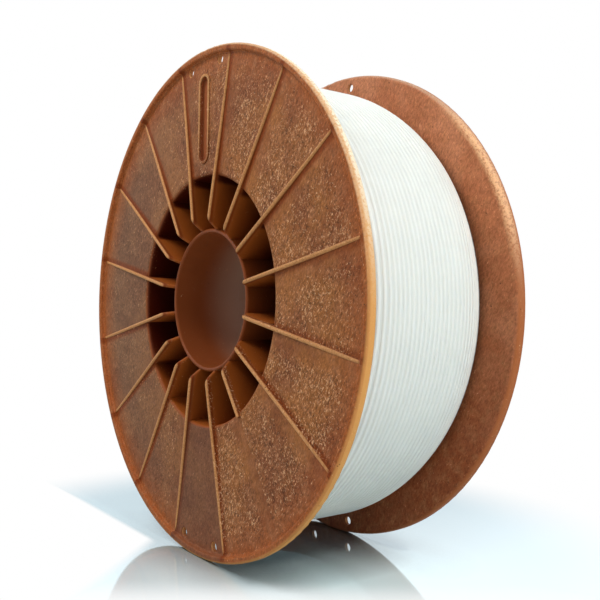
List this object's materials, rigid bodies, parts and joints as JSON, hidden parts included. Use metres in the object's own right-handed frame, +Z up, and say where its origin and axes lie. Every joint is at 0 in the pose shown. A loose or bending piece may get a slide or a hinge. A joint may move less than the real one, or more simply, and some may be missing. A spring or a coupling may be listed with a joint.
{
  "type": "filament spool",
  "caption": "Full filament spool: ribbed two-flange moulded spool with an open bore and a drum wound with white filament.",
  "frame": {"origin": "on the spool's axis at mid width, the centre of the bore", "axes": "+Y along the spool's axis from the front flange to the rear flange, +Z up with the spool standing on its rims and the front flange's groove at the top, +X to the right seen from the front flange"},
  "size_m": [0.2, 0.073, 0.2],
  "materials": {
    "spool": "moulded wood-fibre composite, satin, reddish brown with fine pale fibres",
    "filament": "extruded white polymer, smooth and slightly translucent"
  },
  "bodies": {
    "root": {"front_half": "spool", "rear_half": "spool", "filament_core": "filament", "filament_outer_layer": "filament"}
  },
  "joints": []
}
